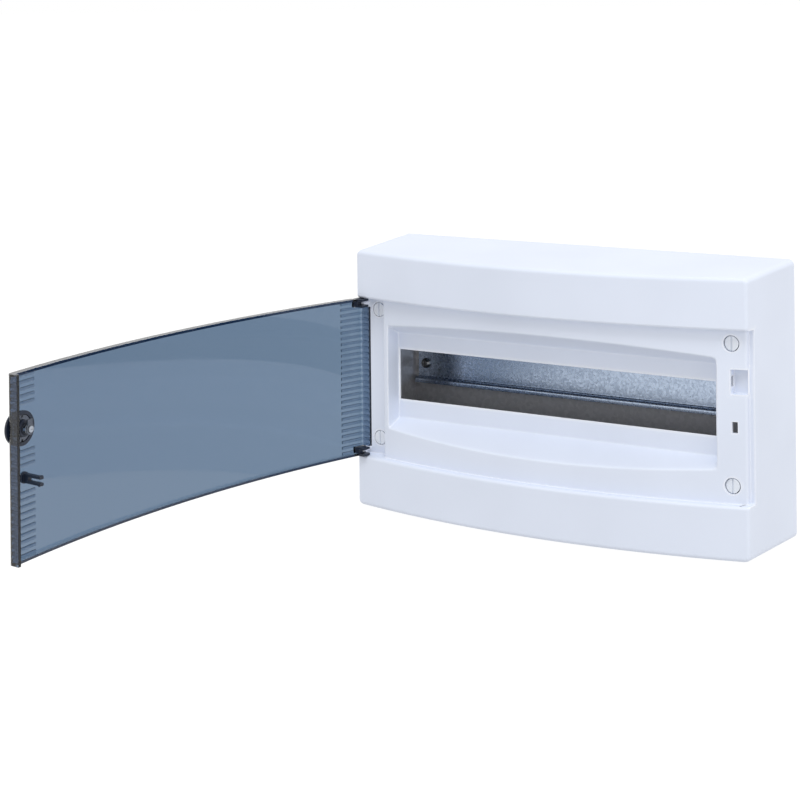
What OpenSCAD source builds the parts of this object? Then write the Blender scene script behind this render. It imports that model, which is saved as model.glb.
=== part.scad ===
// One-row surface-mounted breaker panel box with a bowed, smoke-tinted door.
// Origin: middle of the wall face. +X is right, -Y is towards the user, +Z is up.

/* [Box] */
// Width of the front cover at its front corners
box_w = 398; // [396:1:404]
// Height of the front cover at its front corners
box_h = 236; // [232:1:250]
// How much each side spreads from the front corners to the wall
side_draft = 5.5; // [4:0.5:6]
// How much the top rises from the front corners to the wall
top_draft = 4.5; // [2:0.5:5]
// How much the bottom drops from the front corners to the wall
bottom_draft = 1; // [0.5:0.5:2]
// Depth from the wall to the front corners
corner_depth = 88; // [87:0.5:90]
// How far the middle of the bowed front stands ahead of its corners
bow = 23; // [20:1:25]
// Wall thickness of the cover and the base
wall = 2.5; // [2:0.1:2.8]
// Corner radius of the outline seen from the front
corner_r = 5; // [3:0.5:8]

/* [Door recess] */
// Lower edge of the recessed band
recess_bottom = -72; // [-74:1:-71]
// Upper edge of the recessed band
recess_top = 74; // [73:1:76]
// Depth of the bowed recess floor behind the front face
floor_inset = 8; // [7.5:0.1:8.5]
// Depth of the side rebates behind the front corners
rebate_depth = 12; // [11.5:0.1:12.5]
// Width of the rebate that takes the door's free end
rebate_w = 4; // [3.8:0.1:4.5]
// Width of the hinge channel at the left
channel_w = 28; // [26:0.5:29]

/* [Module window] */
// Number of modules that the window shows
modules = 18; // [17:1:18]
// Width of one module
module_pitch = 18; // [17.5:0.1:18]
// Height of the window
window_h = 46; // [45:0.5:47]
// Height of the window's middle above the box's middle
window_z = 3.3; // [2:0.1:4]
// Distance of the window plane from the wall
window_depth = 72; // [71:0.5:73]

/* [Door] */
// Angle that the door stands open at rest
door_angle = 95.8; // [0:0.2:175]
// Thickness of the door panel
door_t = 2.8; // [2.4:0.1:3]
// Gap between the door and the cover
door_gap = 0.4; // [0.3:0.05:0.6]
// Depth of the door's top and bottom lips, from its outer face
lip_depth = 6.8; // [5:0.1:7]
// Hinge pin diameter
hinge_pin_d = 3; // [2.8:0.1:3]

/* [Lock and latch] */
// Distance of the lock from the middle of the box
lock_x = 187.5; // [187:0.1:189]
// Height of the lock above the box's middle
lock_z = 30; // [28:0.5:32]
// Outer diameter of the lock bezel
bezel_d = 26; // [22:0.5:26]
// Distance of the snap fork from the middle of the box
fork_x = 184.5; // [184:0.1:185]
// Height of the snap fork above the box's middle
fork_z = -8; // [-8:0.5:-5]
// Length of the snap fork inside the door
fork_len = 22; // [16:0.5:23]

/* [Cover screws] */
// Distance of the cover screws from the middle of the box
screw_x = 182; // [181.5:0.1:182.5]
// Height of the upper cover screws
screw_top_z = 62; // [61:0.5:62]
// Height of the lower cover screws
screw_bottom_z = -57; // [-58:0.5:-57]
// Diameter of the cover screw heads
screw_head_d = 12.4; // [11:0.1:12.6]

/* [Wall fixing] */
// Distance between the wall holes, side to side
wall_hole_dx = 330; // [326:1:332]
// Distance between the wall holes, top to bottom
wall_hole_dz = 180; // [176:1:184]
// Diameter of the wall holes
wall_hole_d = 5.5; // [4.5:0.1:6]

/* [Rail] */
// Height of the rail's middle above the box's middle
rail_z = 3.3; // [2:0.1:5]
// Distance of the rail's front rims from the wall
rail_depth = 27; // [27:0.5:28]
// Length of the rail
rail_len = 353; // [345:1:354]

/* [Terminal bars] */
// Length of each terminal bar
bar_len = 120; // [110:1:122]
// Number of clamp screws in each bar
bar_ways = 12; // [8:1:12]

/* [Hidden] */

// Roundness of bores, pins and screw heads, and of the large bowed surfaces
$fn = 48;
bow_fn = 720;

// The bowed surfaces are coaxial cylinders around one upright axis
half_w = box_w / 2;
half_h = box_h / 2;
bow_r = (half_w * half_w + bow * bow) / (2 * bow);
bow_axis_y = bow_r - corner_depth - bow;
far = corner_depth + bow + 20;

// Drafted sides of the hood at depth y, moved in by inset
function side_at(y, inset) = half_w - inset + side_draft * (1 + y / corner_depth);
function top_at(y, inset) = half_h - inset + top_draft * (1 + y / corner_depth);
function bottom_at(y, inset) = inset - half_h - bottom_draft * (1 + y / corner_depth);

// Recess, dish and window
rebate_y = rebate_depth - corner_depth;
recess_mid = (recess_top + recess_bottom) / 2;
recess_half = (recess_top - recess_bottom) / 2;
block_left = channel_w - half_w;
block_right = half_w - rebate_w;
window_w = modules * module_pitch;
dish_above = 38.7;
dish_below = 40.3;
dish_margin_left = 1.5;
dish_margin_right = 3;
dish_top = window_z + dish_above;
dish_bottom = window_z - dish_below;
dish_top_slope = 0.5;
dish_bottom_slope = 0.45;
dish_left = window_w / 2 + dish_margin_left;
dish_right = window_w / 2 + dish_margin_right;
dish_left_draft = 0.1;
dish_right_draft = 0.3;

// Notch for the lock and slot for the snap fork
notch_left = 181;
notch_half = 10.5;
notch_floor_y = -73.5;
cam_slot_half = 4.5;
cam_slot_near = 4.1;
cam_slot_far = 8.1;
fork_slot_w = 5;
fork_slot_h = 9.5;
fork_slot_end_y = -70;

// Cover screws: seat of each head, shaft, boss and post
seat_left_drop = 2;
seat_right_rise = 6.5;
seat_left_y = rebate_y + seat_left_drop;
seat_right_y = seat_left_y - seat_right_rise;
counterbore_d = screw_head_d + 1;
head_h = 2.3;
head_slot_w = 1.6;
head_slot_depth = 1.3;
shaft_d = 6;
shaft_len = 14;
boss_d = 17;
boss_len = 4;
post_d = 13;
post_gap = 0.5;
retainer_d = 9;
retainer_len = 11;
retainer_bore_gap = 0.4;
running_gap = 0.07;

// Base
base_gap = 0.9;
base_wall_depth = 26;
base_half_w = side_at(-base_wall_depth, wall) - base_gap;
base_half_h = half_h - wall - base_gap;
base_corner_r = 3;
base_back = 3;
wall_boss_d = 15;
wall_boss_depth = 6;
root = 1;
cover_lift = 0.5;
corner_ease = 0.1;

// Chassis and rail
sheet = 1.2;
rail_h = 35;
rail_hat = 7.5;
rail_sheet = 1;
rail_rim = 5;
rail_floor_y = rail_hat - rail_depth;
chassis_y = rail_floor_y;
chassis_half_w = 181;
chassis_bottom = -46;
chassis_top = 50;
chassis_front = -62;
chassis_lip = 8;
chassis_hole_x = 167;
chassis_hole_edge = 8;
chassis_holes_z = [chassis_bottom + chassis_hole_edge, chassis_top - chassis_hole_edge];
chassis_hole_d = 4.3;
chassis_post_d = 10;
chassis_screw_d = 3.9;
chassis_head_d = 7.6;
chassis_head_t = 2.4;
chassis_screw_len = 12;
chassis_slots_x = [-120, -60, 0, 60, 120];
chassis_slot_w = 40;
chassis_slot_h = 12;
chassis_slot_edge = 6;
chassis_slot_low = chassis_top - chassis_slot_edge - chassis_slot_h;
rail_hole_x = 167.7;
rail_hole_d = 5.2;
rail_shank_d = 5;
rail_head_d = 9.5;
rail_head_t = 3.2;
rail_screw_len = 9;
cross_share = 0.54;

// Cable entries
rear_entry_w = 140;
rear_entry_bottom = 70;
rear_entry_top = 104;
rear_lip = 3;
rear_lip_t = 1.6;
rear_knockouts_x = [-45, 0, 45];
rear_knockout_d = 26;
bottom_entry_w = 198;
bottom_entry_depth = 28;
bottom_hole_side = 5;
bottom_hole_near = -6;
bottom_hole_deep = -22;
bottom_rim_t = 2;
bottom_knockouts_x = [-75, -45, -15, 15, 45, 75];
bottom_knockout_d = 20;
bottom_knockout_y = -14;
bottom_plate_low = bottom_at(-bottom_entry_depth, cover_lift);
plate_gap = 0.5;
groove_w = 1;
groove_depth = 0.6;

// Terminal bars
bar_z = -85;
bar_h = 7;
bar_d = 9;
bar_back_y = -38;
bar_x = 80;
bar_pitch = 9.5;
bar_screw_d = 4;
bar_head_d = 5.6;
bar_head_rise = 3.4;
bar_screw_tip = 1.9;
bar_screw_slot = 0.8;
bar_wire_d = 4.8;
holder_grip = 4;
holder_rise = 1.5;
holder_h = 12;
holder_foot = 12;
holder_beam = 5;

// Hinge: pin axis just inside the left front corner of the door
hinge_edge_x = 3.3;
hinge_edge_y = 2.6;
hinge_x = hinge_edge_x - half_w;
hinge_y = hinge_edge_y - corner_depth;
lug_r = 2.8;
end_gap = 0.5;
prong_gap = 0.3;
prong_top = recess_half - end_gap;
prong_t = 2;
prong_len = 9;
lug_low = 67.1;
lug_high = 70.1;
prong_low = 64.9;
clip_side = 11.8;
clip_gap = 0.6;
clip_front = 0.3;
door_half_w = half_w - door_gap;
door_half_h = recess_half - end_gap;
flange_t = 2.5;
flange_gap = 0.6;
flange_y = rebate_y - flange_gap;
lip_t = 2.2;

// Snap fork: foot, prongs and the beads at their tips
fork_foot_d = 9;
fork_foot_t = 2.4;
fork_t = 3.4;
fork_half = 3.6;
fork_split = 1.4;
fork_split_start = 8;
fork_bead_r = 1.6;
fork_bead_z = 2.6;

// Lock frame: its axis is square to the bowed door
lock_tilt = asin(lock_x / bow_r);
door_inset = door_gap;
bezel_t = 2.6;
bezel_edge = 0.8;
bezel_taper = 3;
barrel_d = 8.6;
barrel_head_d = 14;
barrel_head_t = 2.2;
barrel_head_gap = 0.3;
barrel_proud = 0.4;
key_slot = [2, 3, 10];
sleeve_d = 13;
sleeve_gap = 0.1;
sleeve_end = 7.6;
nut_w = 17;
nut_h = 20.5;
nut_t = 1.6;
nut_slot = 2.2;
collar_d = 26.8;
collar_bore = 21;
collar_rise = 2.2;
cam_start = 11.3;
cam_t = 1.2;
cam_reach = 8.6;
cam_w = 5.4;
cam_screw_d = 3;
cam_screw_head_d = 5;
cam_screw_depth = 6;
cam_screw_slot = [3.6, 1, 0.8];

// ---------- helpers ----------

// Box between two opposite corners
module span(a, b) {
    translate(a) cube(b - a);
}

// Solid bowed front: everything behind the front face moved in by inset
module behind_bow(inset) {
    translate([0, bow_axis_y, -box_h]) cylinder(r = bow_r - inset, h = 2 * box_h, $fn = bow_fn);
}

// Rod along Y between two depths
module rod_y(x, z, y0, y1, d) {
    translate([x, max(y0, y1), z]) rotate([90, 0, 0]) cylinder(d = d, h = abs(y1 - y0));
}

// Outline with rounded corners, seen from the front
module rounded_rect(w, h, r) {
    square([w - 2 * r, h], center = true);
    square([w, h - 2 * r], center = true);
    for (sx = [-1, 1], sz = [-1, 1]) {
        translate([sx * (w / 2 - r), sz * (h / 2 - r)]) circle(r = r);
    }
}

// Same shape at the top and the bottom of the recess, mirrored about its middle
module recess_end(side) {
    translate([0, 0, recess_mid]) mirror([0, 0, side > 0 ? 0 : 1]) children();
}

// Swings a part of the closed door to where it rests
module door_open() {
    translate([hinge_x, hinge_y, 0]) rotate([0, 0, -door_angle]) {
        translate([-hinge_x, -hinge_y, 0]) children();
    }
}

// Lock axis on the closed door: local -Y points out of the door, 0 is the cover's front face
module lock_axis() {
    translate([0, bow_axis_y, lock_z]) rotate([0, 0, lock_tilt]) translate([0, -bow_r, 0]) children();
}

module lock_place() {
    door_open() lock_axis() children();
}

// ---------- base ----------

module wall_holes(d, y0, y1) {
    for (sx = [-1, 1], sz = [-1, 1]) {
        rod_y(sx * wall_hole_dx / 2, sz * wall_hole_dz / 2, y0, y1, d);
    }
}

module chassis_posts(d, y0, y1) {
    for (sx = [-1, 1], z = chassis_holes_z) {
        rod_y(sx * chassis_hole_x, z, y0, y1, d);
    }
}

module cover_posts(d, back_left, back_right, front_gap) {
    for (z = [screw_bottom_z, screw_top_z]) {
        rod_y(-screw_x, z, back_left, seat_left_y + boss_len + front_gap, d);
        rod_y(screw_x, z, back_right, seat_right_y + boss_len + front_gap, d);
    }
}

module base_tray() {
    color("gainsboro") difference() {
        union() {
            difference() {
                rotate([90, 0, 0]) linear_extrude(base_wall_depth) {
                    rounded_rect(2 * base_half_w, 2 * base_half_h, base_corner_r);
                }
                span(
                    [wall - base_half_w, -far, wall - base_half_h],
                    [base_half_w - wall, -base_back, base_half_h - wall]
                );
            }
            wall_holes(wall_boss_d, root - base_back, -wall_boss_depth);
            chassis_posts(chassis_post_d, root - base_back, chassis_y + sheet);
            cover_posts(post_d, root - base_back, root - base_back, post_gap);
        }
        wall_holes(wall_hole_d, 1, -wall_boss_depth - 1);
        chassis_posts(chassis_screw_d + 0.1, -2 * base_back, -far / 2);
        cover_posts(
            retainer_d + 0.1, seat_left_y + boss_len + retainer_len + 1,
            seat_right_y + boss_len + retainer_len + 1, -1
        );
        span(
            [-rear_entry_w / 2, -base_back - 1, rear_entry_bottom],
            [rear_entry_w / 2, 1, rear_entry_top]
        );
        span(
            [bottom_hole_side - bottom_entry_w / 2, bottom_hole_deep, -half_h],
            [bottom_entry_w / 2 - bottom_hole_side, bottom_hole_near, wall - base_half_h + 1]
        );
    }
}

// Plate that closes the cable opening in the back; rings mark the pieces that knock out
module rear_entry_plate() {
    middle = (rear_entry_bottom + rear_entry_top) / 2;
    ring_y = -base_back - rear_lip_t + 1;
    color("lightgray") difference() {
        union() {
            span(
                [plate_gap - rear_entry_w / 2, -base_back, rear_entry_bottom + plate_gap],
                [rear_entry_w / 2 - plate_gap, -plate_gap, rear_entry_top - plate_gap]
            );
            span(
                [-rear_entry_w / 2 - rear_lip, -base_back - rear_lip_t, rear_entry_bottom - rear_lip],
                [rear_entry_w / 2 + rear_lip, -base_back, rear_entry_top + rear_lip]
            );
        }
        for (x = rear_knockouts_x) {
            difference() {
                rod_y(x, middle, 0, ring_y, rear_knockout_d);
                rod_y(x, middle, 1, ring_y - 1, rear_knockout_d - 2 * groove_w);
            }
        }
    }
}

// Plate that closes the cable opening in the bottom wall; a hollow plug holds it in the base
module bottom_entry_plate() {
    plug_side = bottom_entry_w / 2 - bottom_hole_side - plate_gap;
    plug_top = wall - base_half_h + bottom_rim_t;
    rim_side = plug_side - bottom_rim_t;
    color("whitesmoke") difference() {
        union() {
            span(
                [plate_gap - bottom_entry_w / 2, 1 - bottom_entry_depth, bottom_plate_low],
                [bottom_entry_w / 2 - plate_gap, -1, -base_half_h]
            );
            span(
                [-plug_side, bottom_hole_deep + plate_gap, -base_half_h - 1],
                [plug_side, bottom_hole_near - plate_gap, plug_top]
            );
        }
        span(
            [-rim_side, bottom_hole_deep + plate_gap + bottom_rim_t, -base_half_h],
            [rim_side, bottom_hole_near - plate_gap - bottom_rim_t, plug_top + 1]
        );
        for (x = bottom_knockouts_x) {
            translate([x, bottom_knockout_y, bottom_plate_low - 1]) difference() {
                cylinder(d = bottom_knockout_d, h = groove_depth + 1);
                translate([0, 0, -1]) cylinder(d = bottom_knockout_d - 2 * groove_w, h = 2 * wall);
            }
        }
    }
}

// ---------- chassis and rail ----------

module rail_holes() {
    for (sx = [-1, 1]) {
        rod_y(sx * rail_hole_x, rail_z, 0, -far / 2, rail_hole_d);
    }
}

// Folded steel frame that carries the rail; its side walls frame the window from behind
module rail_chassis() {
    back = chassis_y + sheet;
    color("lightslategray") difference() {
        union() {
            span([-chassis_half_w, chassis_y, chassis_bottom], [chassis_half_w, back, chassis_top]);
            for (sx = [-1, 1]) {
                span(
                    [sx > 0 ? chassis_half_w - sheet : -chassis_half_w, chassis_front, chassis_bottom],
                    [sx > 0 ? chassis_half_w : sheet - chassis_half_w, back, chassis_top]
                );
            }
            for (z = [chassis_bottom, chassis_top - sheet]) {
                span([-chassis_half_w, chassis_y - chassis_lip, z], [chassis_half_w, back, z + sheet]);
            }
        }
        chassis_posts(chassis_hole_d, 0, -far / 2);
        rail_holes();
        for (x = chassis_slots_x) {
            translate([x - chassis_slot_w / 2, chassis_y - 1, chassis_slot_low]) {
                cube([chassis_slot_w, sheet + 2, chassis_slot_h]);
            }
        }
    }
}

// Screw with a low domed head and a cross recess; its axis is along -Y and its seat is at y
module pan_screw(x, z, y, head_d, head_t, shank_d, shank_len) {
    half_t = head_t / 2;
    cross = head_d * cross_share;
    difference() {
        union() {
            rod_y(x, z, y, y - half_t, head_d);
            translate([x, y - half_t, z]) rotate([90, 0, 0]) {
                cylinder(d1 = head_d, d2 = head_d * 0.6, h = half_t);
            }
            rod_y(x, z, y, y + shank_len, shank_d);
        }
        for (a = [0, 90]) {
            translate([x, y - head_t, z]) rotate([0, a, 0]) {
                cube([cross, head_t, cross / 5], center = true);
            }
        }
    }
}

module chassis_screws() {
    color("silver") {
        for (sx = [-1, 1], z = chassis_holes_z) {
            pan_screw(
                sx * chassis_hole_x, z, chassis_y,
                chassis_head_d, chassis_head_t, chassis_screw_d, chassis_screw_len
            );
        }
    }
}

module din_rail() {
    half = rail_h / 2;
    inner = half - rail_rim;
    outline = [
        [-rail_depth, half], [-rail_depth, inner], [rail_floor_y - rail_sheet, inner],
        [rail_floor_y - rail_sheet, -inner], [-rail_depth, -inner], [-rail_depth, -half],
        [rail_sheet - rail_depth, -half], [rail_sheet - rail_depth, -inner - rail_sheet],
        [rail_floor_y, -inner - rail_sheet], [rail_floor_y, inner + rail_sheet],
        [rail_sheet - rail_depth, inner + rail_sheet], [rail_sheet - rail_depth, half]
    ];
    color("lightsteelblue") difference() {
        translate([-rail_len / 2, 0, rail_z]) rotate([90, 0, 90]) {
            linear_extrude(rail_len) polygon(outline);
        }
        rail_holes();
    }
}

module rail_screws() {
    color("silver") for (sx = [-1, 1]) {
        pan_screw(
            sx * rail_hole_x, rail_z, rail_floor_y - rail_sheet,
            rail_head_d, rail_head_t, rail_shank_d, rail_screw_len
        );
    }
}

// ---------- terminal bars ----------

// Middle of a way in the bar whose middle is at x
function way_x(x, i) = x + (i - (bar_ways - 1) / 2) * bar_pitch;

module terminal_bar(x) {
    middle_y = bar_back_y - bar_d / 2;
    color("darkkhaki") difference() {
        translate([x, middle_y, bar_z]) cube([bar_len, bar_d, bar_h], center = true);
        for (i = [0:bar_ways - 1]) {
            translate([way_x(x, i), middle_y, bar_z - bar_h]) cylinder(d = bar_wire_d, h = 2 * bar_h);
            rod_y(way_x(x, i), bar_z, middle_y, middle_y - bar_d, bar_screw_d);
        }
    }
}

module terminal_screws(x) {
    front = bar_back_y - bar_d;
    head_y = front - bar_head_rise;
    color("silver") difference() {
        for (i = [0:bar_ways - 1]) {
            rod_y(way_x(x, i), bar_z, front + bar_screw_tip, front - 1, bar_screw_d - 0.1);
            rod_y(way_x(x, i), bar_z, front - 1, head_y, bar_head_d);
        }
        for (i = [0:bar_ways - 1]) {
            translate([way_x(x, i), head_y, bar_z]) cube([bar_head_d + 1, 2, bar_screw_slot], center = true);
        }
    }
}

// Carrier that stands on the base and grips the bar at both ends
module terminal_holder(x, tint) {
    end = bar_len / 2;
    front = bar_back_y - bar_d - holder_rise;
    low = bar_z - holder_h / 2;
    high = bar_z + holder_h / 2;
    color(tint) difference() {
        span([x - end - holder_grip, front, low], [x + end + holder_grip, -base_back, high]);
        span([x - end - 0.1, front - 1, low - 1], [x + end + 0.1, bar_back_y, high + 1]);
        span(
            [x - end + holder_foot, bar_back_y + holder_beam, low - 1],
            [x + end - holder_foot, 0, high + 1]
        );
    }
}

module neutral_bar() {
    terminal_bar(bar_x);
}

module neutral_bar_screws() {
    terminal_screws(bar_x);
}

module neutral_bar_holder() {
    terminal_holder(bar_x, "royalblue");
}

module earth_bar() {
    terminal_bar(-bar_x);
}

module earth_bar_screws() {
    terminal_screws(-bar_x);
}

module earth_bar_holder() {
    terminal_holder(-bar_x, "seagreen");
}

// ---------- front cover ----------

// Hood shape, moved in by inset on its sides and front, and open at the back when inset is not 0
module hood(inset) {
    back = inset > 0 ? 1 : -cover_lift;
    side = side_at(back, inset);
    top = top_at(back, inset);
    bottom = bottom_at(back, inset);
    intersection() {
        translate([0, back, (top + bottom) / 2]) rotate([90, 0, 0]) linear_extrude(far + back) {
            rounded_rect(2 * (side + corner_ease), top - bottom + 2 * corner_ease, corner_r - inset / 2);
        }
        translate([0, 0, -box_h]) linear_extrude(2 * box_h) polygon([
            [-side, back], [side, back], [side_at(-far, inset), -far], [-side_at(-far, inset), -far]
        ]);
        translate([-box_w, 0, 0]) rotate([90, 0, 90]) linear_extrude(2 * box_w) polygon([
            [back, bottom], [back, top], [-far, top_at(-far, inset)], [-far, bottom_at(-far, inset)]
        ]);
        behind_bow(inset);
    }
}

// Bowed block that carries the window and the right screws, less the notch for the lock
module recess_block(inset) {
    difference() {
        intersection() {
            span([block_left + inset, -far, -half_h], [block_right - inset, 0, half_h]);
            behind_bow(floor_inset + inset);
        }
        span(
            [notch_left - inset, -far, lock_z - notch_half - inset],
            [half_w, notch_floor_y + inset, lock_z + notch_half + inset]
        );
    }
}

// Space in front of the recess, grown by inset into the cover
module recess_space(inset) {
    difference() {
        span(
            [-half_w - side_draft, -far - 1, recess_bottom - inset],
            [half_w + side_draft, rebate_y + inset, recess_top + inset]
        );
        recess_block(inset);
    }
}

// Part of the lock notch that reaches deeper than the rebate
module notch_space(inset) {
    span(
        [notch_left - inset, -far, lock_z - notch_half - inset],
        [block_right + (inset > 0 ? wall : 0), notch_floor_y + inset, lock_z + notch_half + inset]
    );
}

// Dish with sloping top and bottom walls that leads down to the window
module dish_space(inset) {
    top_rise = inset * sqrt(1 + dish_top_slope * dish_top_slope);
    bottom_rise = inset * sqrt(1 + dish_bottom_slope * dish_bottom_slope);
    back = inset - window_depth;
    reach = far + back;
    top_back = dish_top + top_rise - inset * dish_top_slope;
    bottom_back = dish_bottom - bottom_rise + inset * dish_bottom_slope;
    intersection() {
        translate([-box_w, 0, 0]) rotate([90, 0, 90]) linear_extrude(2 * box_w) polygon([
            [back, bottom_back], [back, top_back],
            [-far, top_back + reach * dish_top_slope], [-far, bottom_back - reach * dish_bottom_slope]
        ]);
        translate([0, 0, -box_h]) linear_extrude(2 * box_h) polygon([
            [-dish_left - inset, back], [dish_right + inset, back],
            [dish_right + inset + reach * dish_right_draft, -far],
            [-dish_left - inset - reach * dish_left_draft, -far]
        ]);
    }
}

module cover_shape(inset) {
    difference() {
        hood(inset);
        recess_space(inset);
        notch_space(inset);
        dish_space(inset);
    }
}

// Hinge lug at the left end of the recess, bored for the hinge pin
module hinge_lug() {
    difference() {
        union() {
            translate([hinge_x, hinge_y, lug_low]) cylinder(r = lug_r, h = lug_high - lug_low);
            span([hinge_x - lug_r, hinge_y, lug_low], [hinge_x + lug_r, rebate_y + 1, lug_high]);
        }
        translate([hinge_x, hinge_y, lug_low - 1]) {
            cylinder(d = hinge_pin_d + 2 * running_gap, h = lug_high - lug_low + 2);
        }
    }
}

module front_cover() {
    color("white") {
        difference() {
            union() {
                difference() {
                    cover_shape(0);
                    cover_shape(wall);
                }
                for (z = [screw_bottom_z, screw_top_z]) {
                    rod_y(-screw_x, z, rebate_y + 0.5, seat_left_y + boss_len, boss_d);
                    rod_y(screw_x, z, seat_right_y - 1, seat_right_y + boss_len, boss_d);
                }
                recess_end(1) hinge_lug();
                recess_end(-1) hinge_lug();
            }
            for (z = [screw_bottom_z, screw_top_z]) {
                rod_y(-screw_x, z, seat_left_y, -far, counterbore_d);
                rod_y(screw_x, z, seat_right_y, -far, counterbore_d);
                rod_y(-screw_x, z, 0, -far, shaft_d + 2 * running_gap);
                rod_y(screw_x, z, 0, -far, shaft_d + 2 * running_gap);
            }
            span(
                [-window_w / 2, -far, window_z - window_h / 2],
                [window_w / 2, 0, window_z + window_h / 2]
            );
            span(
                [fork_x - fork_slot_w / 2, -far, fork_z - fork_slot_h / 2],
                [fork_x + fork_slot_w / 2, fork_slot_end_y, fork_z + fork_slot_h / 2]
            );
            span(
                [notch_left - wall - 1, notch_floor_y - cam_slot_far, lock_z - cam_slot_half],
                [notch_left + 1, notch_floor_y - cam_slot_near, lock_z + cam_slot_half]
            );
            span(
                [-bottom_entry_w / 2, -bottom_entry_depth, -half_h - bottom_draft - 1],
                [bottom_entry_w / 2, 1, -half_h + wall + 1]
            );
        }
    }
}

// ---------- cover screws ----------

// Screw with a slotted head; the slot is upright at rest
module cover_screw(x, z, seat) {
    color("white") difference() {
        union() {
            rod_y(x, z, seat, seat - head_h, screw_head_d);
            rod_y(x, z, seat, seat + shaft_len, shaft_d);
        }
        translate([x, seat - head_h, z]) {
            cube([head_slot_w, 2 * head_slot_depth, screw_head_d + 1], center = true);
        }
    }
}

module cover_screw_top_left() {
    cover_screw(-screw_x, screw_top_z, seat_left_y - running_gap);
}

module cover_screw_top_right() {
    cover_screw(screw_x, screw_top_z, seat_right_y - running_gap);
}

module cover_screw_bottom_left() {
    cover_screw(-screw_x, screw_bottom_z, seat_left_y - running_gap);
}

module cover_screw_bottom_right() {
    cover_screw(screw_x, screw_bottom_z, seat_right_y - running_gap);
}

// Sleeves in the base's posts that the cover screws turn in
module screw_retainers() {
    color("dimgray") for (side = [-1, 1], z = [screw_bottom_z, screw_top_z]) {
        front = (side < 0 ? seat_left_y : seat_right_y) + boss_len + post_gap;
        difference() {
            rod_y(side * screw_x, z, front, front + retainer_len, retainer_d);
            rod_y(side * screw_x, z, front - 1, front + retainer_len + 1, shaft_d + retainer_bore_gap);
        }
    }
}

// ---------- door ----------

// Part of the door between two insets, within half_x and the heights low to high
module bowed_plate(near, deep, half_x, low, high) {
    difference() {
        intersection() {
            span([-half_x, -far, low], [half_x, 0, high]);
            behind_bow(near);
        }
        behind_bow(deep);
    }
}

// Bowed panel with its lips along the top and bottom and its flanges at both ends
module door_shape() {
    bowed_plate(door_inset, door_inset + door_t, door_half_w, -door_half_h, door_half_h);
    bowed_plate(door_inset, door_inset + lip_depth, door_half_w, door_half_h - lip_t, door_half_h);
    bowed_plate(door_inset, door_inset + lip_depth, door_half_w, -door_half_h, lip_t - door_half_h);
    intersection() {
        behind_bow(door_inset);
        for (sx = [-1, 1]) {
            span(
                [sx > 0 ? door_half_w - flange_t : -door_half_w, -far, -door_half_h],
                [sx > 0 ? door_half_w : flange_t - door_half_w, flange_y, door_half_h]
            );
        }
    }
}

// Ring moulded on the inside of the door, round the nut of the lock
module lock_collar() {
    face = door_inset + door_t;
    intersection() {
        lock_axis() difference() {
            rod_y(0, 0, face - door_t / 2, face + collar_rise, collar_d);
            rod_y(0, 0, 0, far, collar_bore);
        }
        span([0, -far, 0], [door_half_w - flange_t / 2, 0, half_h]);
    }
}

module door_panel() {
    color([0.45, 0.53, 0.62, 0.6]) door_open() difference() {
        union() {
            lock_collar();
            translate([0, 0, recess_mid]) door_shape();
        }
        for (side = [-1, 1]) {
            recess_end(side) span(
                [-half_w - 1, -far, prong_low - end_gap],
                [clip_side - half_w, 0, recess_half + 1]
            );
        }
        lock_axis() rod_y(0, 0, -sleeve_end, sleeve_end, sleeve_d + sleeve_gap);
    }
}

// U-shaped hinge clip: two long prongs that hold the pin, and a web that joins the panel
module hinge_clip() {
    inner = clip_side - half_w - 0.1;
    back = hinge_y + prong_len;
    front = -corner_depth - clip_front;
    web_left = hinge_x + lug_r + clip_gap;
    difference() {
        union() {
            for (low = [prong_low, prong_top - prong_t]) {
                high = low == prong_low ? lug_low - prong_gap : prong_top;
                span([hinge_x, front, low], [inner, back, high]);
                translate([hinge_x, hinge_y, low]) cylinder(r = lug_r, h = high - low);
            }
            span([web_left, front, prong_low], [inner, hinge_y + lug_r + clip_gap, prong_top]);
        }
        translate([hinge_x, hinge_y, 0]) cylinder(d = hinge_pin_d, h = recess_half + 1);
    }
}

module hinge_pin() {
    translate([hinge_x, hinge_y, prong_low]) {
        cylinder(d = hinge_pin_d, h = prong_top - prong_low - prong_gap);
    }
}

module hinge_clip_top() {
    color([0.16, 0.18, 0.22]) door_open() recess_end(1) hinge_clip();
}

module hinge_clip_bottom() {
    color([0.16, 0.18, 0.22]) door_open() recess_end(-1) hinge_clip();
}

module hinge_pin_top() {
    color("silver") door_open() recess_end(1) hinge_pin();
}

module hinge_pin_bottom() {
    color("silver") door_open() recess_end(-1) hinge_pin();
}

// Two springy prongs on a round foot that snap into the slot in the recess floor
module latch_fork() {
    face = door_inset + door_t;
    root_y = bow_axis_y - sqrt(pow(bow_r - face, 2) - pow(fork_x, 2));
    tip_y = root_y + fork_len;
    color([0.16, 0.18, 0.22]) door_open() difference() {
        union() {
            difference() {
                rod_y(fork_x, fork_z, root_y + fork_foot_d, root_y - fork_foot_d, fork_foot_d);
                behind_bow(face + fork_foot_t);
            }
            span(
                [fork_x - fork_t / 2, root_y - fork_foot_t, fork_z - fork_half],
                [fork_x + fork_t / 2, tip_y, fork_z + fork_half]
            );
            for (sz = [-1, 1]) {
                translate([fork_x - fork_t / 2, tip_y - fork_bead_r, fork_z + sz * fork_bead_z]) {
                    rotate([0, 90, 0]) cylinder(r = fork_bead_r, h = fork_t);
                }
            }
        }
        difference() {
            span(
                [fork_x - fork_foot_d, root_y - 2 * fork_foot_d, fork_z - fork_foot_d],
                [fork_x + fork_foot_d, root_y + fork_foot_d, fork_z + fork_foot_d]
            );
            behind_bow(face);
        }
        span(
            [fork_x - fork_t, root_y + fork_split_start, fork_z - fork_split],
            [fork_x + fork_t, tip_y + 1, fork_z + fork_split]
        );
    }
}

// ---------- lock ----------

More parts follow.
